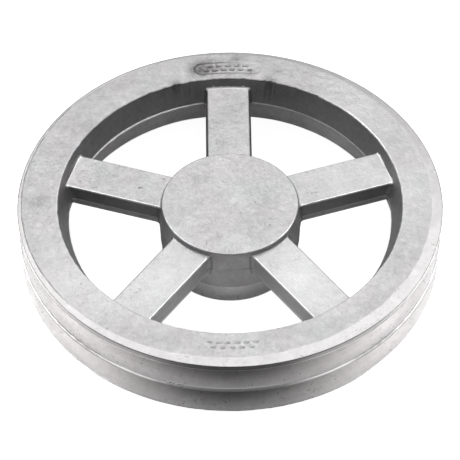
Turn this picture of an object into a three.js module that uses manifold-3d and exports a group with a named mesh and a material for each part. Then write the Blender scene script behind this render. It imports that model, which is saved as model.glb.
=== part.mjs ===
// Two-groove V-belt pulley, cast in aluminium, 250 mm outside diameter.
//
// The pulley lies on its back: the Z axis is the pulley's axis, Z = 0 is the back plane and the
// front faces of the rim and the hub look up. Units are millimetres. The real pulley is one
// casting; each mesh here is one natural region of it (rim rings, barrel, spokes, hub).
// Neighbouring rim rings meet face to face, and the spokes stop a small gap short of the hub and
// the barrel, where the casting runs through in one piece.

import * as THREE from 'three';
import { mergeVertices } from 'three/addons/utils/BufferGeometryUtils.js';
import Module from 'manifold-3d';

const wasm = await Module();
wasm.setup();

// ---- driving dimensions -------------------------------------------------------------------

const outerRadius = 125;            // 250 mm outside diameter
const rimWidth = 44;                // edge 12.5 + pitch 19 + edge 12.5, two section-B grooves
const groovePitch = 19;
const edgeToGroove = 12.5;          // groove centre to the rim's face
const grooveMouth = 16.5;           // width at the outside diameter
const grooveDepth = 14.5;
const grooveAngle = THREE.MathUtils.degToRad(38);

const frontChamferWidth = 4.4;      // radial width of the turned band round the front face
const frontChamferDrop = 1;
const backChamfer = 3.5;

const rimFrontRadius = 101.3;       // inner edge of the rim's front face
const partingRadius = 95.5;         // the rim's inner wall at the mould's parting plane
const partingHeight = 29.5;
const rearLipRadius = 98;           // inner wall where the rear relief starts
const rearLipHeight = 14.7;
const rearReliefRadius = 111.9;     // inner edge of the rim's back face

const hubFaceRadius = 40.3;
const hubFaceHeight = 41.5;         // a little below the rim's front face
const hubPartingRadius = 42;
const hubBackRadius = 40.8;
const hubEdgeBevel = 0.8;

const spokeCount = 5;
const firstSpokeAngle = 90;         // degrees, one spoke points along +Y
const spokeTopHeight = 38.2;
const spokeBottomHeight = 24;
const spokeTopWidth = 25.8;
const spokePartingWidth = 27.4;
const spokeBottomWidth = 25.6;
const spokeEdgeRounding = 1.2;

const castingGap = 0.3;             // spoke ends to the hub and the barrel
const ringSegments = 72;

// ---- derived sizes ------------------------------------------------------------------------

const grooveBottomRadius = outerRadius - grooveDepth;
const flankRise = grooveDepth * Math.tan(grooveAngle / 2);
const backGrooveHeight = edgeToGroove;
const frontGrooveHeight = edgeToGroove + groovePitch;

// ---- materials ----------------------------------------------------------------------------

const castAluminium = () => new THREE.MeshStandardMaterial({
  color: 0xb9bbbd,
  roughness: 0.62,
  metalness: 0.75,
});

const turnedAluminium = () => new THREE.MeshStandardMaterial({
  color: 0xcfd0d2,
  roughness: 0.38,
  metalness: 0.9,
});

// ---- helpers ------------------------------------------------------------------------------

// Solid of revolution about Z from [radius, height] corners listed anticlockwise.
function revolve(corners) {
  const profile = corners.map(([radius, height]) => new THREE.Vector2(radius, height));
  const geometry = new THREE.LatheGeometry(profile, ringSegments);
  geometry.rotateX(Math.PI / 2);
  return geometry;
}

// Ring about Z: the corner list is closed on itself.
function ring(corners) {
  return revolve([...corners, corners[0]]);
}

function toManifold(geometry) {
  const bare = geometry.clone();
  bare.deleteAttribute('normal');
  bare.deleteAttribute('uv');
  const merged = mergeVertices(bare, 1e-4);
  const vertProperties = new Float32Array(merged.attributes.position.array);
  const triVerts = new Uint32Array(merged.index.array);
  return new wasm.Manifold(new wasm.Mesh({ numProp: 3, vertProperties, triVerts }));
}

function fromManifold(solid) {
  const { vertProperties, triVerts } = solid.getMesh();
  const geometry = new THREE.BufferGeometry();
  geometry.setAttribute('position', new THREE.BufferAttribute(vertProperties, 3));
  geometry.setIndex(new THREE.BufferAttribute(triVerts, 1));
  geometry.computeVertexNormals();
  return geometry;
}

function part(name, geometry, material) {
  const mesh = new THREE.Mesh(geometry, material);
  mesh.name = name;
  return mesh;
}

// ---- rim ----------------------------------------------------------------------------------

// Front flange: from the groove bottom out to the turned edge band.
function frontFlange() {
  const mouth = frontGrooveHeight + grooveMouth / 2;
  return ring([
    [grooveBottomRadius, mouth - flankRise],
    [outerRadius, mouth],
    [outerRadius, rimWidth - frontChamferDrop],
    [outerRadius - frontChamferWidth, rimWidth],
    [grooveBottomRadius, rimWidth],
  ]);
}

// Rib between the two grooves, widening towards the groove bottom.
function centreRib() {
  const lowerMouth = backGrooveHeight + grooveMouth / 2;
  const upperMouth = frontGrooveHeight - grooveMouth / 2;
  return ring([
    [grooveBottomRadius, lowerMouth - flankRise],
    [outerRadius, lowerMouth],
    [outerRadius, upperMouth],
    [grooveBottomRadius, upperMouth + flankRise],
  ]);
}

// Height of the rear relief cone at a radius.
function reliefHeight(radius) {
  const slope = rearLipHeight / (rearReliefRadius - rearLipRadius);
  return (rearReliefRadius - radius) * slope;
}

function backFlange() {
  const mouth = backGrooveHeight - grooveMouth / 2;
  return ring([
    [grooveBottomRadius, reliefHeight(grooveBottomRadius)],
    [rearReliefRadius, 0],
    [outerRadius - backChamfer, 0],
    [outerRadius, backChamfer],
    [outerRadius, mouth],
    [grooveBottomRadius, mouth + flankRise],
  ]);
}

// Barrel under the grooves: its inner wall drafts both ways from the parting plane.
function rimBarrel() {
  return ring([
    [grooveBottomRadius, reliefHeight(grooveBottomRadius)],
    [grooveBottomRadius, rimWidth],
    [rimFrontRadius, rimWidth],
    [partingRadius, partingHeight],
    [rearLipRadius, rearLipHeight],
  ]);
}

// ---- hub ----------------------------------------------------------------------------------

// Blank hub: solid, to be bored to the shaft by its buyer.
function hub() {
  return revolve([
    [0, 0],
    [hubBackRadius - hubEdgeBevel, 0],
    [hubBackRadius, hubEdgeBevel],
    [hubPartingRadius, partingHeight],
    [hubFaceRadius, hubFaceHeight - hubEdgeBevel],
    [hubFaceRadius - hubEdgeBevel, hubFaceHeight],
    [0, hubFaceHeight],
  ]);
}

// ---- spokes -------------------------------------------------------------------------------

// Flat bar with a six-sided section: widest at the parting plane, top edges rounded.
function spokeBar() {
  const top = spokeTopWidth / 2;
  const middle = spokePartingWidth / 2;
  const bottom = spokeBottomWidth / 2;
  const section = new THREE.Shape();
  section.moveTo(-bottom, spokeBottomHeight);
  section.lineTo(bottom, spokeBottomHeight);
  section.lineTo(middle, partingHeight);
  section.lineTo(top, spokeTopHeight - spokeEdgeRounding);
  section.quadraticCurveTo(top, spokeTopHeight, top - spokeEdgeRounding, spokeTopHeight);
  section.lineTo(-top + spokeEdgeRounding, spokeTopHeight);
  section.quadraticCurveTo(-top, spokeTopHeight, -top, spokeTopHeight - spokeEdgeRounding);
  section.lineTo(-middle, partingHeight);
  const bar = new THREE.ExtrudeGeometry(section, {
    depth: rimFrontRadius,
    bevelEnabled: false,
    curveSegments: 3,
  });
  // The section's height becomes Z and the bar runs out along +X.
  bar.rotateX(Math.PI / 2);
  bar.rotateZ(Math.PI / 2);
  return bar;
}

// Space between the hub and the barrel, less the gap, where the spokes may be.
function webSpace() {
  return ring([
    [hubBackRadius + castingGap, 0],
    [rearLipRadius - castingGap, 0],
    [rearLipRadius - castingGap, rearLipHeight],
    [partingRadius - castingGap, partingHeight],
    [rimFrontRadius - castingGap, rimWidth],
    [hubFaceRadius + castingGap, rimWidth],
    [hubFaceRadius + castingGap, hubFaceHeight],
    [hubPartingRadius + castingGap, partingHeight],
  ]);
}

function spoke(angle) {
  const bar = spokeBar();
  bar.rotateZ(THREE.MathUtils.degToRad(angle));
  return fromManifold(toManifold(bar).intersect(toManifold(webSpace())));
}

// ---- assembly -----------------------------------------------------------------------------

const group = new THREE.Group();

group.add(part('front_flange', frontFlange(), turnedAluminium()));
group.add(part('centre_rib', centreRib(), turnedAluminium()));
group.add(part('back_flange', backFlange(), turnedAluminium()));
group.add(part('rim_barrel', rimBarrel(), castAluminium()));
group.add(part('hub', hub(), castAluminium()));

for (let index = 0; index < spokeCount; index += 1) {
  const angle = firstSpokeAngle + index * 360 / spokeCount;
  group.add(part(`spoke_${index + 1}`, spoke(angle), castAluminium()));
}

export default group;
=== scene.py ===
"""Two-groove V-belt pulley, cast in aluminium: meshes, finishes, light and camera.

Lengths are in millimetres until a mesh is made, and angles in degrees round the pulley's axis,
from +X towards +Y. The pulley lies on its back face, with its axis along Z.
"""
import math

import bpy
from mathutils import Matrix, Vector, noise


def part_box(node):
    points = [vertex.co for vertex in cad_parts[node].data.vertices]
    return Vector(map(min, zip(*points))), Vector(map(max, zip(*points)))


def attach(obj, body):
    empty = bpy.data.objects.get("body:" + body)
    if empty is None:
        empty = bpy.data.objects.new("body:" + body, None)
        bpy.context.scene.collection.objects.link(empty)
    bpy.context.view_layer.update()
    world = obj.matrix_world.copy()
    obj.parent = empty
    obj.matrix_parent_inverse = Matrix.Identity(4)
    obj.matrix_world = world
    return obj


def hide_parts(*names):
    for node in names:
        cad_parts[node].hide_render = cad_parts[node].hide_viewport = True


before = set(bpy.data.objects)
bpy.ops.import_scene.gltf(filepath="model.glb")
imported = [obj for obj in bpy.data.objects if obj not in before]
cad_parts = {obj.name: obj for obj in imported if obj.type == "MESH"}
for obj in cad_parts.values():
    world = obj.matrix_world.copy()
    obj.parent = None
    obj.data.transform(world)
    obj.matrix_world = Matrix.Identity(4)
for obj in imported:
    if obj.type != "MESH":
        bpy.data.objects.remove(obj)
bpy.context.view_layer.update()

METRE = 0.001

# ---- sizes from the frame ------------------------------------------------------------------

def node_top(node):
    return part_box(node)[1].z / METRE


def node_reach(node):
    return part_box(node)[1].x / METRE


OUTER_RADIUS = node_reach("front_flange")
RIM_WIDTH = node_top("front_flange")
GROOVE_BOTTOM = node_reach("rim_barrel")
HUB_FACE = node_top("hub")
HUB_PARTING_RADIUS = node_reach("hub")
SPOKE_TOP = node_top("spoke_1")
SPOKE_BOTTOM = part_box("spoke_1")[0].z / METRE
SPOKE_WIDTH = 2 * node_reach("spoke_1")
RIB_MIDDLE = (node_top("centre_rib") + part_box("centre_rib")[0].z / METRE) / 2

# ---- sizes that the frame's boxes don't give -----------------------------------------------

PARTING = 29.5
RIM_FRONT_RADIUS = 101.3
RIM_PARTING_RADIUS = 95.5
LIP_RADIUS = 98.0
LIP_HEIGHT = 14.7
RELIEF_RADIUS = 111.9
BACK_CHAMFER = 3.5
RELIEF_END = LIP_HEIGHT * (RELIEF_RADIUS - GROOVE_BOTTOM) / (RELIEF_RADIUS - LIP_RADIUS)
GROOVE_PITCH = 19.0
GROOVE_MOUTH = 16.5
FLANK_RISE = (OUTER_RADIUS - GROOVE_BOTTOM) * math.tan(math.radians(19))
FRONT_GROOVE = RIB_MIDDLE + GROOVE_PITCH / 2
BACK_GROOVE = RIB_MIDDLE - GROOVE_PITCH / 2

BAND_RADIUS = 120.6                 # mean inner edge of the turned band round the front
BAND_SHIFT = (-2.05, 1.65)          # the band was turned off the casting's centre
BAND_OUTER_HEIGHT = RIM_WIDTH - 0.8
BAND_SLOPE = 0.17

HUB_FACE_RADIUS = 40.3
HUB_BACK_RADIUS = 40.8
HUB_TURNED_HEIGHT = 13.6            # the hub's lower end is turned
HUB_CENTRE = 0.6                    # radius of the small discs in the middle of its end faces
SPOKE_TOP_WIDTH = 25.8
SPOKE_BOTTOM_WIDTH = 25.2
# Each spoke's angle, how much its sides are darkened by dirt and painted shade, and the wear and painted
# highlight of its top edges, negative for darker ones: the left one and the right one, looking outwards
# along the spoke.
SPOKES = [(90, 0.8, (-0.4, -0.4)), (162, 0.85, (0.9, 0.0)), (234, 0.25, (1.0, -0.3)),
          (306, 0.3, (-0.3, 1.0)), (18, 0.8, (0.0, 0.9))]

CAST, TURNED, BAND = 0, 1, 2        # material indices on every piece


# ---- small maths ---------------------------------------------------------------------------

def smooth(value):
    """0 below 0, 1 above 1, with a smooth step between."""
    value = min(1.0, max(0.0, value))
    return value * value * (3 - 2 * value)


def mix(low, high, share):
    return low + (high - low) * share


def ripple(x, y, z, size, seed=0.0):
    """Smooth noise from about -1 to 1, with bumps of that size in millimetres."""
    return noise.noise(Vector((x / size + seed, y / size - seed, z / size + 2 * seed)))


def turn(angle):
    return math.cos(math.radians(angle)), math.sin(math.radians(angle))


def ripple_round(radius, angle, layer, size, seed=0.0):
    """That noise along a circle about the axis."""
    c, s = turn(angle)
    return ripple(c * radius, s * radius, layer, size, seed)


def bell(angle, middle, width, power=2):
    """1 at the middle, falling to 0 past the width; a power of 4 gives it a flat top."""
    return math.exp(-((angle - middle) / width) ** power)


def face_height(x, y):
    """Height of the rim's as-cast front face, which isn't quite square to the axis."""
    lean = BAND_SLOPE * (BAND_SHIFT[0] * -x + BAND_SHIFT[1] * -y) / BAND_RADIUS
    return BAND_OUTER_HEIGHT + BAND_SLOPE * (OUTER_RADIUS - BAND_RADIUS) + lean


def band_edge(angle):
    """Radius where the turned band meets the as-cast face, a little ragged."""
    c, s = turn(angle)
    ragged = 0.22 * ripple_round(60, angle, 0, 2.2, 3.1) + 0.3 * ripple_round(60, angle, 0, 9, 8.4)
    return BAND_RADIUS + BAND_SHIFT[0] * c + BAND_SHIFT[1] * s + ragged


def hub_wall(height):
    """Radius of the hub's drafted wall."""
    if height > PARTING:
        share = (height - PARTING) / (HUB_FACE - PARTING)
        return mix(HUB_PARTING_RADIUS, HUB_FACE_RADIUS, share)
    return mix(HUB_BACK_RADIUS, HUB_PARTING_RADIUS, height / PARTING)


def rim_wall(height):
    """Radius of the rim's drafted inner wall."""
    if height > PARTING:
        share = (height - PARTING) / (RIM_WIDTH - PARTING)
        return mix(RIM_PARTING_RADIUS, RIM_FRONT_RADIUS, share)
    share = (PARTING - height) / (PARTING - LIP_HEIGHT)
    return mix(RIM_PARTING_RADIUS, LIP_RADIUS, share)


# ---- relief on the front face --------------------------------------------------------------

PAD_RADIUS = 111.2                  # recessed oval pad, opposite the marks
PAD_HALF_LENGTH = 21.5
PAD_HALF_HEIGHT = 5.6
PAD_DEPTH = 0.75
PAD_EDGE = 1.8                      # width of the slope round its pocket
DASH_PITCH = 5.4                    # the relief is two staggered rows of plain dashes
DASH_ROW = 1.75                     # from the middle line to each row
DASH_HALF_LENGTH = 1.9
DASH_HALF_HEIGHT = 0.95
PAD_DASHES = 0.6                    # how far the dashes stand out in the pad
NEAR_DASHES = 0.35                  # and on the opposite side of the face


def pill(x, y, half_length, half_height):
    """Distance outside a round-ended bar along x, negative inside."""
    over = max(0.0, abs(x) - (half_length - half_height))
    return math.hypot(over, y) - half_height


def along_rim(x, y, angle):
    """Position as seen at that angle: along the rim, and outwards from the pad's radius.

    Points on the other half of the pulley are far along it.
    """
    c, s = turn(angle)
    outwards = x * c + y * s
    sideways = y * c - x * s
    radius = math.hypot(x, y)
    if outwards <= 0:
        return 1e6, 1e6
    return math.atan2(sideways, outwards) * PAD_RADIUS, radius - PAD_RADIUS


def dashes(u, v, half_width, softness):
    """Height, 0 to 1, of two staggered rows of plain dashes along the rim."""
    row = DASH_ROW if v > 0 else -DASH_ROW
    shift = 0.0 if v > 0 else DASH_PITCH / 2
    place = DASH_PITCH * round((u - shift) / DASH_PITCH) + shift
    if abs(place) > half_width:
        return 0.0
    return smooth(-pill(u - place, v - row, DASH_HALF_LENGTH, DASH_HALF_HEIGHT) / softness)


def pad_relief(x, y):
    """The blank name pad: an oval pocket, deeper on the left, holding two rows of dashes."""
    u, v = along_rim(x, y, 90)
    pocket = smooth(-pill(u, v, PAD_HALF_LENGTH, PAD_HALF_HEIGHT) / PAD_EDGE)
    depth = PAD_DEPTH * mix(0.25, 1.25, smooth((u + 24) / 44))
    return -depth * pocket + PAD_DASHES * dashes(u, v, 14.0, 0.7)


def near_relief(x, y):
    """Two rows of plain raised dashes on the near side of the face."""
    u, v = along_rim(x, y, 270)
    return NEAR_DASHES * dashes(u, v + 1.0, 15.0, 1.0)


def cast_skin(x, y, z):
    """Waviness of the as-cast skin, as a small shift of the point."""
    broad = 0.07 * ripple(x, y, z, 14)
    fine = 0.035 * ripple(x, y, z, 3.2, 5.5)
    side = 0.05 * ripple(x, y, z, 9, 2.7)
    return side, -side, broad + fine


# ---- outlines ------------------------------------------------------------------------------

def corner(radius, height, rounding=0.0, cuts=1, finish=CAST, wear_and_light=1.0, dirt_and_shade=0.0):
    """One corner of an outline; cuts and finish are those of the straight that follows it.

    Wear is 1 where the corner is rubbed bright or given a painted highlight, and goes negative where
    dirt sits in it or painted shade falls.
    The last argument is how much the straight is darkened, by dirt and by painted shade.
    """
    return {"at": Vector((radius, height)), "rounding": rounding, "cuts": cuts, "finish": finish,
            "wear_and_light": wear_and_light, "dirt_and_shade": dirt_and_shade}


def rounded(corners, steps=5, support=0.18):
    """Points round a closed outline as (radius, height, finish, edge).

    Each rounded corner becomes an arc, and a support point close to each end of a straight
    keeps its flat shading flat. edge is the corner's wear and painted light on its arc, less of it on a
    sharp corner, and on straights minus how much they are darkened by dirt and painted shade.
    """
    count = len(corners)
    ends = []
    for index, this in enumerate(corners):
        before = (corners[index - 1]["at"] - this["at"]).normalized()
        after = (corners[(index + 1) % count]["at"] - this["at"]).normalized()
        half = before.angle(after) / 2
        reach = this["rounding"] / math.tan(half)
        ends.append((before, after, half, reach))
    points = []
    for index, this in enumerate(corners):
        before, after, half, reach = ends[index]
        finish_before = corners[index - 1]["finish"]
        if this["rounding"] > 0:
            centre = this["at"] + (before + after).normalized() * this["rounding"] / math.sin(half)
            first = this["at"] + before * reach - centre
            last = this["at"] + after * reach - centre
            sweep = first.angle_signed(last)
            for step in range(steps + 1):
                share = step / steps
                arm = first.copy()
                arm.rotate(Matrix.Rotation(-sweep * share, 2))
                finish = finish_before if share < 0.5 else this["finish"]
                points.append((*(centre + arm), finish, this["wear_and_light"]))
        else:
            points.append((*this["at"], this["finish"], 0.6 * this["wear_and_light"]))
        start = this["at"] + after * reach
        following = corners[(index + 1) % count]
        stop = following["at"] - after * ends[(index + 1) % count][3]
        length = (stop - start).length
        share = min(0.25, support / length)
        places = [share + (1 - 2 * share) * cut / this["cuts"] for cut in range(this["cuts"] + 1)]
        for place in places:
            points.append((*start.lerp(stop, place), this["finish"], -this["dirt_and_shade"]))
    return points


# ---- mesh makers ---------------------------------------------------------------------------

def make_piece(name, points, faces, finishes, edges, nodes):
    """A smooth-shaded mesh from millimetre points, which stands for those CAD nodes."""
    mesh = bpy.data.meshes.new(name)
    mesh.from_pydata([Vector(point) * METRE for point in points], [], faces)
    mesh.materials.append(cast_metal)
    mesh.materials.append(turned_metal)
    mesh.materials.append(band_metal)
    mesh.polygons.foreach_set("material_index", finishes)
    # edge values: wear and painted highlight where positive, dirt and painted shade where negative
    wear_and_light = mesh.attributes.new("edge", "FLOAT", "POINT")
    wear_and_light.data.foreach_set("value", edges)
    mesh.shade_smooth()
    mesh.set_sharp_from_angle(angle=math.radians(38))
    mesh.validate()
    mesh.update()
    piece = bpy.data.objects.new(name, mesh)
    bpy.context.scene.collection.objects.link(piece)
    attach(piece, "root")
    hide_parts(*nodes)
    return piece


def revolve(name, angles, outline_at, shape, nodes, capped=False):
    """Outline swept round the axis; outline_at(angle) gives it and shape moves points.

    A ring's outline closes on itself. A capped one runs from the back's centre to the front's.
    """
    points, edges, finishes, faces = [], [], [], []
    for angle in angles:
        c, s = turn(angle)
        outline = outline_at(angle)
        for radius, height, _, edge in outline:
            points.append(shape(radius * c, radius * s, height))
            edges.append(edge)
    width = len(outline)
    total = len(angles)
    for row in range(total):
        ahead = (row + 1) % total
        for column in range(width - 1 if capped else width):
            beside = (column + 1) % width
            faces.append((row * width + column, ahead * width + column,
                          ahead * width + beside, row * width + beside))
            finishes.append(outline[column][2])
    if capped:
        faces.append(tuple(row * width for row in reversed(range(total))))
        faces.append(tuple(row * width + width - 1 for row in range(total)))
        finishes += [outline[0][2], outline[-1][2]]
    return make_piece(name, points, faces, finishes, edges, nodes)


def ring_angles(step=0.75, fine=0.15, sectors=((73, 107), (253, 287))):
    """Angles once round, closer together where the front face carries relief."""
    angles, angle = [], 0.0
    while angle < 360 - 1e-6:
        angles.append(angle)
        inside = any(low <= angle < high for low, high in sectors)
        angle = round(angle + (fine if inside else step), 4)
    return angles


# ---- rim pieces ----------------------------------------------------------------------------

def flange_outline(angle):
    """Front flange: groove flank, land, turned band and the outer part of the as-cast face."""
    c, s = turn(angle)
    mouth = FRONT_GROOVE + GROOVE_MOUTH / 2
    edge = band_edge(angle)
    edge_height = BAND_OUTER_HEIGHT + BAND_SLOPE * (OUTER_RADIUS - edge)
    dirt = seam_dirt(angle)
    return rounded([
        corner(GROOVE_BOTTOM, mouth - FLANK_RISE, 0, 16, TURNED),
        # The land's lower edge: painted highlight on the near side, painted shade elsewhere; the land is
        # painted darker as painted shade.
        corner(OUTER_RADIUS, mouth, 0.5, 2, TURNED, groove_edge_highlight_and_shade(angle, 5.2), 0.9),
        corner(OUTER_RADIUS, BAND_OUTER_HEIGHT, 0.5, 3, BAND, -1.0),
        corner(edge + 0.3, edge_height - 0.05, 0, 1, BAND, 0.0),
        corner(edge, edge_height - 0.05 - 0.3 * dirt, 0, 1, CAST, -1.6 * dirt),
        corner(edge - 0.3, edge_height, 0, 24, CAST, 0.3 * (1 - dirt)),
        corner(GROOVE_BOTTOM, face_height(GROOVE_BOTTOM * c, GROOVE_BOTTOM * s), 0, 2, CAST, 0.0),
    ], steps=4)


def groove_edge_highlight_and_shade(angle, seed):
    """Edge value of the groove edges: a spotty painted highlight on the side with the marks, spotty
    painted shade elsewhere.
    """
    spots = ripple_round(OUTER_RADIUS, angle, seed, 4, seed)
    return mix(-1.0 - 0.5 * spots, 1.8 + 0.4 * spots, near_side(angle))


def near_side(angle):
    """1 on the side with the marks, falling to 0 within some 45 degrees."""
    return bell(angle, 270, 30, 4)


def seam_dirt(angle):
    """Dirt in the seam beside the turned band: a dotted line on the left side of the rim."""
    dots = smooth(0.75 + 0.9 * ripple_round(121, angle, 0, 2.6, 4.9))
    return dots * bell(angle, 172, 44, 4)


def barrel_outline(angle):
    """Barrel: the inner part of the as-cast face, the drafted wall with its flash, the relief."""
    c, s = turn(angle)
    front = face_height(RIM_FRONT_RADIUS * c, RIM_FRONT_RADIUS * s)
    joint = face_height(GROOVE_BOTTOM * c, GROOVE_BOTTOM * s)
    chip = 0.2 * ripple_round(101, angle, 3, 3.5, 1.3) + 0.2 * ripple_round(101, angle, 9, 1.6, 6)
    chip += sum(depth * bell(angle, place, width) for place, depth, width in CHIPS)
    flash = flash_height(angle)
    return rounded([
        corner(GROOVE_BOTTOM, RELIEF_END, 0, 6, TURNED, 0.0),
        corner(GROOVE_BOTTOM, joint, 0, 24, CAST, 0.0),
        # The face's inner edge gets a painted highlight and darkening; the upper wall below it is
        # painted a little darker as painted shade.
        corner(RIM_FRONT_RADIUS + chip, front, 0.9, 8, CAST, inner_edge_highlight_and_darkening(angle), 0.25),
        corner(RIM_PARTING_RADIUS + 0.15, PARTING + 0.4, 0, 1, CAST),
        corner(RIM_PARTING_RADIUS - flash, PARTING + 0.12, 0, 1, CAST),
        corner(RIM_PARTING_RADIUS - flash, PARTING - 0.12, 0, 1, CAST),
        corner(RIM_PARTING_RADIUS + 0.1, PARTING - 0.4, 0, 8, CAST),
        corner(LIP_RADIUS, LIP_HEIGHT, 1.2, 6, CAST),
    ], steps=4, support=0.3)


def inner_edge_highlight_and_darkening(angle):
    """Edge value of the face's inner edge: darker opposite the marks, and a painted highlight beside
    that.
    """
    return mix(0.25, -0.45, bell(angle, 100, 48, 4)) + 0.7 * bell(angle, 36, 17)


# Chips in the face's inner edge, as (angle, depth, width).
CHIPS = [(108.7, 1.1, 0.7), (107.0, 0.6, 0.4), (75.2, 1.0, 0.7), (73.6, 0.8, 0.4), (77.1, 0.6, 0.5),
         (118.0, 0.6, 0.5), (66.0, 0.5, 0.8), (95.0, 0.4, 0.5), (84.5, 0.6, 0.6),
         (103.5, 0.5, 0.5), (58.0, 0.6, 0.6), (112.5, 0.6, 0.4)]


def flash_height(angle):
    """How far the moulding flash stands out at the parting line: most between two spokes."""
    strong = bell(angle, 127, 24, 4)
    broken = 0.5 + 0.5 * ripple_round(95, angle, 0, 4, 4.4)
    return 0.12 + 0.25 * broken + strong * (0.45 + 0.25 * broken)


def rib_outline(angle):
    """Rib between the grooves: two flanks and a narrow crest."""
    lower = BACK_GROOVE + GROOVE_MOUTH / 2
    upper = FRONT_GROOVE - GROOVE_MOUTH / 2
    nick = crest_nick(angle)
    return rounded([
        corner(GROOVE_BOTTOM, lower - FLANK_RISE, 0, 16, TURNED),
        # The crest and its lower edge are painted darker as painted shade, less on the near side; its
        # upper edge has the groove edges' painted highlight and shade.
        corner(OUTER_RADIUS - nick, lower, 0.3, 2, TURNED, -0.8, 0.95 - 0.8 * near_side(angle)),
        corner(OUTER_RADIUS - nick, upper, 1.0, 16, TURNED, groove_edge_highlight_and_shade(angle, 1.2)),
        corner(GROOVE_BOTTOM, upper + FLANK_RISE, 0, 2, TURNED),
    ], steps=3)


# Angles of the knocks in the rib's crest.
KNOCKS = (31, 118, 196, 251, 254, 256.5)


def crest_nick(angle):
    """Depth of the small knocks in the rib's crest, and of its waviness."""
    knocks = sum(bell(angle, place, 0.6) for place in KNOCKS)
    return 0.35 * knocks + 0.06 * ripple_round(OUTER_RADIUS, angle, 0, 3, 7.7)


def back_outline(angle):
    """Back flange: relief, back face, rough chamfer, land and groove flank."""
    mouth = BACK_GROOVE - GROOVE_MOUTH / 2
    rough = 0.2 * ripple_round(OUTER_RADIUS, angle, 0, 2.4, 9.2)
    rough += 0.15 * ripple_round(OUTER_RADIUS, angle, 0, 6, 1.1)
    return rounded([
        corner(GROOVE_BOTTOM, RELIEF_END, 0, 1, CAST),
        corner(RELIEF_RADIUS, 0, 0.4, 5, CAST),
        # The rough chamfer and the land are painted darker, the land as painted shade like the front
        # land, with a dark edge between them.
        corner(OUTER_RADIUS - BACK_CHAMFER + rough, 0, 0.5, 3, CAST, 0.3, 0.7),
        corner(OUTER_RADIUS - 0.1, BACK_CHAMFER + rough, 0.3, 1, TURNED, -1.0, 0.5),
        corner(OUTER_RADIUS, mouth, 0.3, 16, TURNED),
        corner(GROOVE_BOTTOM, mouth + FLANK_RISE, 0, 6, CAST),
    ], steps=3)


def rim_shape(x, y, z):
    """Casting skin on the wall and the front face, with the relief; turned surfaces stay true."""
    radius = math.hypot(x, y)
    if z > PARTING:
        skin = smooth((BAND_RADIUS - 3.5 - radius) / 1.5)
    else:
        skin = float(radius < 109)
    sx, sy, sz = cast_skin(x, y, z)
    if z > BAND_OUTER_HEIGHT - 0.6 and radius < BAND_RADIUS - 1.5:
        sz += pad_relief(x, y) + near_relief(x, y)
    return x + sx * skin, y + sy * skin, z + sz * skin


# ---- hub -----------------------------------------------------------------------------------

def hub_outline(angle):
    """Hub from the middle of its back to the middle of its face, with a turned lower end."""
    flash = 0.12 + 0.16 * ripple_round(42, angle, 0, 4, 2.2)
    turned_wall = hub_wall(HUB_TURNED_HEIGHT) - 0.35
    step_edge = 0.2 * ripple_round(40, angle, 0, 3, 5.1)
    # Painted highlight on the face's edge, at near left and near right.
    painted_highlight = bell(angle, 216, 22) + bell(angle, 324, 22)
    outline = rounded([
        corner(HUB_CENTRE, 0, 0, 14, BAND, 0.0),
        corner(HUB_BACK_RADIUS - 0.35, 0, 0.6, 8, BAND),
        corner(turned_wall, HUB_TURNED_HEIGHT + step_edge, 0.1, 1, CAST, -1.0),
        corner(hub_wall(HUB_TURNED_HEIGHT), HUB_TURNED_HEIGHT + 0.6 + step_edge, 0.1, 8, CAST,
               -0.6, 0.3),
        corner(HUB_PARTING_RADIUS - 0.1, PARTING - 0.35, 0, 1, CAST, -1.0),
        corner(HUB_PARTING_RADIUS + flash, PARTING, 0, 1, CAST),
        corner(HUB_PARTING_RADIUS - 0.1, PARTING + 0.35, 0, 6, CAST, -0.3, 0.1),
        corner(HUB_FACE_RADIUS, HUB_FACE, 0.8, 20, CAST, 0.1 + 0.9 * painted_highlight),
        corner(HUB_CENTRE, HUB_FACE, 0, 1, CAST, 0.0),
    ], steps=4)
    way_back = 2                        # points down the axis, which a solid hub doesn't have
    return outline[:-way_back]


def hub_shape(x, y, z):
    """Casting skin on the hub; its turned lower end stays true."""
    if z < HUB_TURNED_HEIGHT:
        return x, y, z
    sx, sy, sz = cast_skin(x, y, z)
    return x + sx, y + sy, z + sz


# ---- spokes --------------------------------------------------------------------------------

# Distances from the wall of the rows of points at each end, and the steps between the ends.
SPOKE_END_STEPS = [0.0, 0.2, 0.45, 0.75, 1.1, 1.5, 2.0, 2.6, 3.3, 4.2, 5.5, 8.0]
SPOKE_MIDDLE_STEPS = 14
SPOKE_EMBED = 0.4                   # how far a spoke's end runs into the hub and the barrel


def flare(distance, radius):
    """How far a fillet of that radius stands out at a distance from the wall."""
    if distance >= radius:
        return 0.0
    return radius - math.sqrt(radius ** 2 - (radius - distance) ** 2)


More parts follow.
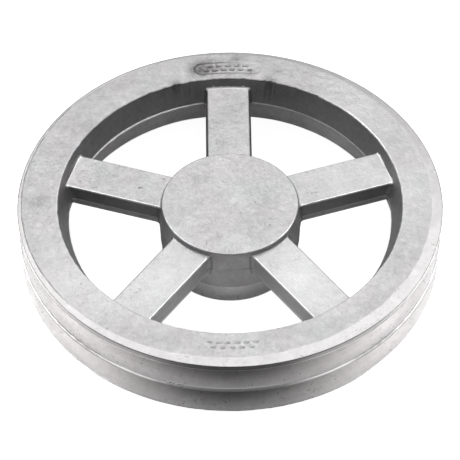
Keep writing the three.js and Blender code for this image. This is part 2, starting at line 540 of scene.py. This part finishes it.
def spoke_section(dirt_and_shade, wear_and_light):
    """Closed section as (across, height, edge), widest at the parting plane.

    The first argument is how much its sides are darkened by dirt and painted shade, and the second is
    the wear and painted highlight of its two top edges.
    """
    top, middle, bottom = SPOKE_TOP_WIDTH / 2, SPOKE_WIDTH / 2, SPOKE_BOTTOM_WIDTH / 2
    section = rounded([
        corner(-bottom, SPOKE_BOTTOM, 1.0, 8, CAST, 0.4),
        corner(bottom, SPOKE_BOTTOM, 1.0, 4, CAST, 0.4, 0.4 * dirt_and_shade),
        corner(middle - 0.1, PARTING - 0.3, 0, 1, CAST, -0.3),
        corner(middle + 0.15, PARTING, 0, 1),
        corner(middle - 0.1, PARTING + 0.3, 0, 5, CAST, 0.0, dirt_and_shade),
        corner(top, SPOKE_TOP, 0.75, 16, CAST, wear_and_light[0]),
        corner(-top, SPOKE_TOP, 0.75, 5, CAST, wear_and_light[1], dirt_and_shade),
        corner(-middle + 0.1, PARTING + 0.3, 0, 1, CAST, 0.0),
        corner(-middle - 0.15, PARTING, 0, 1),
        corner(-middle + 0.1, PARTING - 0.3, 0, 4, CAST, -0.3, 0.4 * dirt_and_shade),
    ], steps=5)
    return [(across, height, edge) for across, height, _, edge in section]


def outward(section, index):
    """Outward direction of the section at one of its points."""
    x0, z0, _ = section[index - 1]
    x1, z1, _ = section[(index + 1) % len(section)]
    length = math.hypot(x1 - x0, z1 - z0)
    return (z1 - z0) / length, -(x1 - x0) / length


def spoke_point(section, index, wall, side, distance, angle):
    """One point of a spoke, at a distance from the hub's or the rim's wall."""
    across, height, _ = section[index]
    normal_across, normal_up = outward(section, index)
    radius = mix(3.2, 1.6, abs(normal_up))
    spread = flare(distance, radius)
    across += normal_across * spread
    height += normal_up * spread
    reach = math.sqrt(wall(height) ** 2 - across ** 2)
    out = reach + side * (distance - SPOKE_EMBED)
    c, s = turn(angle)
    x, y = out * c - across * s, out * s + across * c
    sx, sy, sz = cast_skin(x, y, height)
    return x + sx, y + sy, height + sz


def end_highlight_and_shadow(height, edge, closeness):
    """Edge value close to a spoke's end: a painted highlight on the lip on top, painted shade down the
    sides where they meet the wall.
    """
    if height > SPOKE_TOP - 0.4:
        return mix(edge, 0.9, closeness)
    return mix(edge, -0.6, closeness)


def spoke_rows(section, angle):
    """Rows of points from the hub to the rim, closer together at both ends."""
    def end_row(wall, side, distance):
        return [spoke_point(section, k, wall, side, distance, angle) for k in range(len(section))]

    at_hub = [end_row(hub_wall, 1, distance) for distance in SPOKE_END_STEPS]
    at_rim = [end_row(rim_wall, -1, distance) for distance in reversed(SPOKE_END_STEPS)]
    between = []
    for step in range(1, SPOKE_MIDDLE_STEPS):
        share = step / SPOKE_MIDDLE_STEPS
        between.append([tuple(mix(a, b, share) for a, b in zip(*pair))
                        for pair in zip(at_hub[-1], at_rim[0])])
    return at_hub + between + at_rim


def tube_faces(rows, width):
    """Faces of a tube of that many rows of points, closed at both ends."""
    faces = []
    for row in range(rows - 1):
        for k in range(width):
            ahead = (k + 1) % width
            faces.append((row * width + k, row * width + ahead,
                          (row + 1) * width + ahead, (row + 1) * width + k))
    faces.append(tuple(reversed(range(width))))
    faces.append(tuple(range((rows - 1) * width, rows * width)))
    return faces


def make_spoke(number, angle, dirt_and_shade, wear_and_light):
    """A flat spoke with fillets at both ends."""
    section = spoke_section(dirt_and_shade, wear_and_light)
    rows = spoke_rows(section, angle)
    points = [point for row in rows for point in row]
    faces = tube_faces(len(rows), len(section))
    # how close each row is to an end, where the ends' painted highlight and shade come in
    ends = [smooth((1.8 - distance) / 1.2) for distance in SPOKE_END_STEPS]
    plain_rows = [0.0] * (len(rows) - 2 * len(ends))
    edges = []
    for closeness in ends + plain_rows + ends[::-1]:
        edges += [end_highlight_and_shadow(height, edge, closeness) for _, height, edge in section]
    node = f"spoke_{number}"
    return make_piece(f"cast_{node}", points, faces, [CAST] * len(faces), edges, [node])


# ---- materials -----------------------------------------------------------------------------

class Nodes:
    """A short way to write a material's node tree."""

    def __init__(self, name):
        self.material = bpy.data.materials.new(name)
        self.material.use_nodes = True
        self.tree = self.material.node_tree
        self.shader = self.tree.nodes["Principled BSDF"]
        self.place = self.add("ShaderNodeTexCoord").outputs["Object"]

    def add(self, kind, **settings):
        node = self.tree.nodes.new(kind)
        for key, value in settings.items():
            setattr(node, key, value)
        return node

    def link(self, source, target):
        self.tree.links.new(source, target)

    def put(self, target, value):
        """Links a socket, or sets a plain value."""
        if isinstance(value, bpy.types.NodeSocket):
            self.link(value, target)
        else:
            target.default_value = value

    def noise(self, size, detail=2.0, rough=0.5, shift=0.0):
        """Noise with features of about that size in millimetres."""
        node = self.add("ShaderNodeTexNoise", noise_dimensions="4D")
        self.link(self.place, node.inputs["Vector"])
        node.inputs["Scale"].default_value = 1 / (size * METRE)
        node.inputs["Detail"].default_value = detail
        node.inputs["Roughness"].default_value = rough
        node.inputs["W"].default_value = shift
        return node.outputs["Fac"]

    def spread(self, value, low, high, to_low=0.0, to_high=1.0):
        node = self.add("ShaderNodeMapRange", clamp=True)
        self.put(node.inputs["Value"], value)
        node.inputs["From Min"].default_value = low
        node.inputs["From Max"].default_value = high
        node.inputs["To Min"].default_value = to_low
        node.inputs["To Max"].default_value = to_high
        return node.outputs["Result"]

    def math(self, operation, first, second):
        node = self.add("ShaderNodeMath", operation=operation)
        self.put(node.inputs[0], first)
        self.put(node.inputs[1], second)
        return node.outputs[0]

    def total(self, start, *parts):
        for part in parts:
            start = self.math("ADD", part, start)
        return start

    def spot(self, x, y, size):
        """1 at a place of the pulley's plane, falling to 0 at that distance in millimetres."""
        flat = self.add("ShaderNodeVectorMath", operation="MULTIPLY")
        self.link(self.place, flat.inputs[0])
        flat.inputs[1].default_value = (1, 1, 0)
        apart = self.add("ShaderNodeVectorMath", operation="DISTANCE")
        self.link(flat.outputs[0], apart.inputs[0])
        apart.inputs[1].default_value = (x * METRE, y * METRE, 0)
        return self.spread(apart.outputs["Value"], 0.0, size * METRE, 1.0, 0.0)

    def blend(self, share, first, second, how="MIX"):
        node = self.add("ShaderNodeMix", data_type="RGBA", blend_type=how)
        self.put(node.inputs["Factor"], share)
        self.put(node.inputs["A"], first)
        self.put(node.inputs["B"], second)
        return node.outputs["Result"]

    def bump(self, height, distance, below=None):
        node = self.add("ShaderNodeBump")
        node.inputs["Distance"].default_value = distance * METRE
        self.put(node.inputs["Height"], height)
        if below is not None:
            self.link(below, node.inputs["Normal"])
        return node.outputs["Normal"]

    def attribute(self, name):
        return self.add("ShaderNodeAttribute", attribute_name=name).outputs["Fac"]


def grey(level, red=0.0, blue=0.0):
    return (level * (1 + red), level, level * (1 + blue), 1.0)


# Dirty stains of the casting, as (place, size, strength).
STAINS = [((-18.0, 109.5), 9.0, 0.9), ((-15.0, 111.5), 11.0, 0.75), ((-8.0, 113.0), 10.0, 0.5),
          ((0.0, 111.0), 12.0, 0.25), ((6.0, 118.5), 9.0, 0.5), ((14.0, 106.0), 5.0, 0.5),
          ((-60.0, 92.0), 70.0, 0.08), ((34.0, 108.0), 45.0, 0.1),
          ((-32.0, 97.5), 5.0, 0.7), ((26.0, 99.0), 6.0, 0.7),
          ((-114.0, -1.0), 9.0, 0.4), ((-108.0, 3.0), 8.0, 0.3), ((-88.0, 62.0), 14.0, 0.2),
          ((6.0, 78.0), 12.0, 0.2), ((-4.0, 52.0), 10.0, 0.2)]

# Painted sheen: patches painted lighter where the near spokes and parts of the rim catch more light, as
# (place, size, strength).
PAINTED_SHEEN_SPOTS = [((-41.0, -57.0), 42.0, 0.45), ((41.0, -57.0), 42.0, 0.6), ((67.0, 22.0), 34.0, 0.3),
          ((-89.0, -66.0), 45.0, 0.3), ((78.0, 76.0), 40.0, 0.25), ((110.0, 5.0), 40.0, 0.2)]


def add_wear_and_painted_light(n, colour, full, bright, rough, gloss):
    """Bright metal on the rubbed edges and painted highlights, and dirt and painted shade in the others,
    as each point's edge value says.

    full is the edge value at full brightness, and gloss is what rubbing takes off the roughness.
    """
    edge = n.attribute("edge")
    # wear and painted highlight: lighten towards bright metal where the edge value is positive
    colour = n.blend(n.spread(edge, 0.0, full, 0.0, bright), colour, grey(0.97))
    # dirt and painted shade: darken where the edge value is negative
    colour = n.blend(n.spread(edge, -1.0, 0.0, 0.85, 0.0), colour, grey(0.12))
    rough = n.math("SUBTRACT", rough, n.spread(edge, 0.0, full, 0.0, gloss))
    n.link(colour, n.shader.inputs["Base Color"])
    n.link(rough, n.shader.inputs["Roughness"])
    n.shader.inputs["Metallic"].default_value = 1.0


def make_cast_metal():
    """As-cast aluminium: matt, mottled grey with a fine grain, stains and small pits."""
    n = Nodes("cast_aluminium")
    grain = n.noise(1.1, 3, 0.7, 7.0)
    mottle = n.total(0.5, n.spread(n.noise(17, 3, 0.6), 0.36, 0.64, -0.10, 0.10),
                     n.spread(n.noise(5, 4, 0.65, 3.0), 0.34, 0.66, -0.11, 0.11),
                     n.spread(n.noise(2.1, 3, 0.7, 13.0), 0.32, 0.68, -0.14, 0.14))
    colour = n.blend(mottle, grey(0.44), grey(0.80))
    tint = n.spread(n.noise(22, 2, 0.5, 11.0), 0.38, 0.62)
    colour = n.blend(tint, colour, (1.0, 0.972, 0.978, 1), "MULTIPLY")
    # painted sheen: lighten the casting's colour in those patches
    for (x, y), size, strength in PAINTED_SHEEN_SPOTS:
        colour = n.blend(n.math("MULTIPLY", n.spot(x, y, size), strength), colour, grey(0.95))
    ragged = n.spread(n.noise(3, 4, 0.7, 29.0), 0.3, 0.55)
    for (x, y), size, strength in STAINS:
        stain = n.math("MULTIPLY", n.spot(x, y, size), ragged)
        colour = n.blend(n.math("MULTIPLY", stain, strength), colour, grey(0.15, 0.03))
    speck = n.spread(n.noise(1.7, 2, 0.5, 17.0), 0.64, 0.75)
    sparse = n.spread(n.noise(12, 2, 0.5, 23.0), 0.47, 0.66)
    pits = n.math("MULTIPLY", speck, sparse)
    colour = n.blend(n.math("MULTIPLY", pits, 0.5), colour, grey(0.22, 0.03))
    rough = n.spread(grain, 0.3, 0.7, 0.5, 0.64)
    add_wear_and_painted_light(n, colour, 1.0, 0.8, rough, 0.22)
    shape = n.bump(n.noise(4.5, 3, 0.6, 31.0), 0.4)
    shape = n.bump(grain, 0.2, shape)
    shape = n.bump(n.math("MULTIPLY", pits, -1.0), 0.25, shape)
    n.link(shape, n.shader.inputs["Normal"])
    return n.material


def make_turned_metal(name, level, groove_shade_level):
    """Turned aluminium: brighter and smoother, with tool marks that run round the axis.

    The last argument is how much of its brightness the painted shade leaves at the bottoms of the
    grooves.
    """
    n = Nodes(name)
    split = n.add("ShaderNodeSeparateXYZ")
    n.link(n.place, split.inputs[0])
    across = n.math("MULTIPLY", split.outputs["X"], split.outputs["X"])
    along = n.math("MULTIPLY", split.outputs["Y"], split.outputs["Y"])
    radius = n.math("POWER", n.math("ADD", across, along), 0.5)
    profile = n.math("ADD", radius, split.outputs["Z"])
    marks = n.add("ShaderNodeTexNoise", noise_dimensions="1D")
    n.link(profile, marks.inputs["W"])
    marks.inputs["Scale"].default_value = 1 / (0.55 * METRE)
    marks.inputs["Detail"].default_value = 3
    mottle = n.total(0.5, n.spread(n.noise(10, 3, 0.6, 5.0), 0.35, 0.65, -0.2, 0.2),
                     n.spread(n.noise(3.2, 4, 0.7, 9.0), 0.33, 0.67, -0.25, 0.25))
    colour = n.blend(mottle, grey(level - 0.14, 0.03, -0.01), grey(level + 0.06, 0.014, 0.0))
    # painted shade: darker towards the groove bottoms
    depth = n.spread(radius, 0.113, 0.1248, groove_shade_level, 1.0)
    colour = n.blend(depth, grey(0.0), colour)
    streak = n.spread(marks.outputs["Fac"], 0.35, 0.7)
    colour = n.blend(n.math("MULTIPLY", streak, 0.2), colour, grey(0.55))
    speck = n.spread(n.noise(1.4, 2, 0.5, 19.0), 0.6, 0.74)
    sparse = n.spread(n.noise(14, 2, 0.5, 27.0), 0.42, 0.64)
    colour = n.blend(n.math("MULTIPLY", speck, sparse), colour, grey(0.3, 0.02))
    rough = n.spread(marks.outputs["Fac"], 0.3, 0.7, 0.46, 0.56)
    add_wear_and_painted_light(n, colour, 1.6, 0.9, rough, 0.2)
    shape = n.bump(marks.outputs["Fac"], 0.05)
    shape = n.bump(n.noise(1.2, 2, 0.6, 41.0), 0.05, shape)
    n.link(shape, n.shader.inputs["Normal"])
    return n.material


def make_floor_finish(name, level, glow):
    """Plain pale studio floor."""
    n = Nodes(name)
    patch = n.spread(n.noise(400, 2), 0.3, 0.7)
    n.link(n.blend(patch, grey(level - 0.01), grey(level + 0.01)), n.shader.inputs["Base Color"])
    n.shader.inputs["Roughness"].default_value = 0.9
    n.shader.inputs["Emission Color"].default_value = (1, 1, 1, 1)
    n.shader.inputs["Emission Strength"].default_value = glow
    return n.material


# ---- light and camera ----------------------------------------------------------------------

def add_softbox(name, place, aim, size, power):
    light = bpy.data.lights.new(name, "AREA")
    light.shape = "RECTANGLE"
    light.size, light.size_y = size
    light.energy = power
    box = bpy.data.objects.new(name, light)
    box.location = place
    direction = Vector(aim) - Vector(place)
    box.rotation_euler = direction.to_track_quat("-Z", "Y").to_euler()
    bpy.context.scene.collection.objects.link(box)
    return box


def add_card(name, place, angle, size, power):
    """A glowing card that lies on the table, its first side pointing that way."""
    card = add_softbox(name, (*place, 0.0005), (*place, 1), size, power)
    card.rotation_euler = (math.pi, 0, math.radians(angle))


def add_plane(name, finish, below, half=(4.0, 4.0), middle=(0, 0)):
    """A level rectangle a little below the pulley's back plane, in metres but for its depth."""
    mesh = bpy.data.meshes.new(name)
    corners = [(-half[0], -half[1], 0), (half[0], -half[1], 0),
               (half[0], half[1], 0), (-half[0], half[1], 0)]
    mesh.from_pydata(corners, [], [(0, 1, 2, 3)])
    mesh.materials.append(finish)
    plane = bpy.data.objects.new(name, mesh)
    plane.location = (*middle, -below * METRE)
    bpy.context.scene.collection.objects.link(plane)
    return plane


def add_floor():
    """The pale floor that the camera sees, and the dimmer table that the metal reflects.

    A dark strip of that table lies in front of the pulley, as painted shade that the metal reflects
    there.
    """
    floor = add_plane("floor", make_floor_finish("studio_floor", 0.45, 0.95), 0.3)
    floor.visible_glossy = False
    floor.visible_diffuse = False
    floor.visible_shadow = False
    table = add_plane("table", make_floor_finish("studio_table", 0.8, 0.0), 0.4)
    table.visible_camera = False
    # painted shade: a dark strip of the table in front of the pulley, seen only in reflections
    painted_shade_strip = add_plane("painted_shade_strip", make_floor_finish("studio_painted_shade", 0.24, 0.0), 0.35, (0.06, 0.3), (0, -0.428))
    painted_shade_strip.visible_camera = False


def add_camera(distance=1500.0, rise=48.27, swing=-0.75, target=(-0.04, -3.96, 22.0), lens=197.914):
    """Camera above and in front of the target, turned about the axis by the swing."""
    camera = bpy.data.cameras.new("camera")
    camera.sensor_width = 36.0
    camera.lens = lens
    lift, back = math.sin(math.radians(rise)), math.cos(math.radians(rise))
    offset = Vector((0, -back, lift)) * distance
    rig = bpy.data.objects.new("camera", camera)
    turned = Matrix.Rotation(math.radians(swing), 3, "Z")
    place = turned @ (Vector(target) + offset) * METRE
    rig.location = place
    look = turned @ Vector(target) * METRE - place
    rig.rotation_euler = look.to_track_quat("-Z", "Y").to_euler()
    bpy.context.scene.collection.objects.link(rig)
    bpy.context.scene.camera = rig


def add_world(level):
    """Soft room light from above, behind and beside; the room in front of the table is dark."""
    world = bpy.data.worlds.new("studio")
    world.use_nodes = True
    tree = world.node_tree
    split = tree.nodes.new("ShaderNodeSeparateXYZ")
    tree.links.new(tree.nodes.new("ShaderNodeTexCoord").outputs["Generated"], split.inputs[0])
    lift = tree.nodes.new("ShaderNodeMath")
    lift.operation = "MULTIPLY_ADD"
    tree.links.new(split.outputs["Z"], lift.inputs[0])
    lift.inputs[1].default_value = 1.2
    tree.links.new(split.outputs["Y"], lift.inputs[2])
    ramp = tree.nodes.new("ShaderNodeMapRange")
    ramp.interpolation_type = "SMOOTHSTEP"
    tree.links.new(lift.outputs[0], ramp.inputs["Value"])
    ramp.inputs["From Min"].default_value = -0.6
    ramp.inputs["From Max"].default_value = 0.9
    ramp.inputs["To Min"].default_value = 0.04 * level
    ramp.inputs["To Max"].default_value = level
    background = tree.nodes["Background"]
    background.inputs["Color"].default_value = (0.94, 0.96, 1.0, 1)
    tree.links.new(ramp.outputs["Result"], background.inputs["Strength"])
    bpy.context.scene.world = world


# ---- build ---------------------------------------------------------------------------------

add_camera()
add_world(0.19)
add_floor()
add_softbox("overhead", (0, 0.7, 1.3), (0, 0, 0.02), (1.6, 0.6), 11.4)
add_softbox("front", (0, -0.6, 1.1), (0, 0, 0.02), (1.2, 0.6), 0.9)
add_card("left card", (-0.243, -0.054), 215, (0.2, 0.38), 0.22)
add_softbox("left strip", (-0.4, 0, 0.0225), (0, 0, 0.0225), (0.36, 0.044), 2.8)
add_softbox("right strip", (0.4, 0, 0.0225), (0, 0, 0.0225), (0.36, 0.044), 2.8)
add_card("right card", (0.243, -0.054), -35, (0.2, 0.38), 0.26)
add_card("near card", (0, -0.07), 270, (0.045, 0.16), 0.006)

cast_metal = make_cast_metal()
turned_metal = make_turned_metal("turned_aluminium", 0.90, 0.5)
band_metal = make_turned_metal("turned_band", 0.76, 1.0)

fine = ring_angles()
plain = ring_angles(sectors=())
revolve("turned_front_flange", fine, flange_outline, rim_shape, ["front_flange"])
revolve("cast_rim_barrel", fine, barrel_outline, rim_shape, ["rim_barrel"])
revolve("turned_centre_rib", plain, rib_outline, rim_shape, ["centre_rib"])
revolve("turned_back_flange", plain, back_outline, rim_shape, ["back_flange"])
revolve("cast_hub", plain, hub_outline, hub_shape, ["hub"], capped=True)
for number, (angle, dirt_and_shade, wear_and_light) in enumerate(SPOKES, start=1):
    make_spoke(number, angle, dirt_and_shade, wear_and_light)

bpy.context.scene.view_settings.view_transform = "Standard"
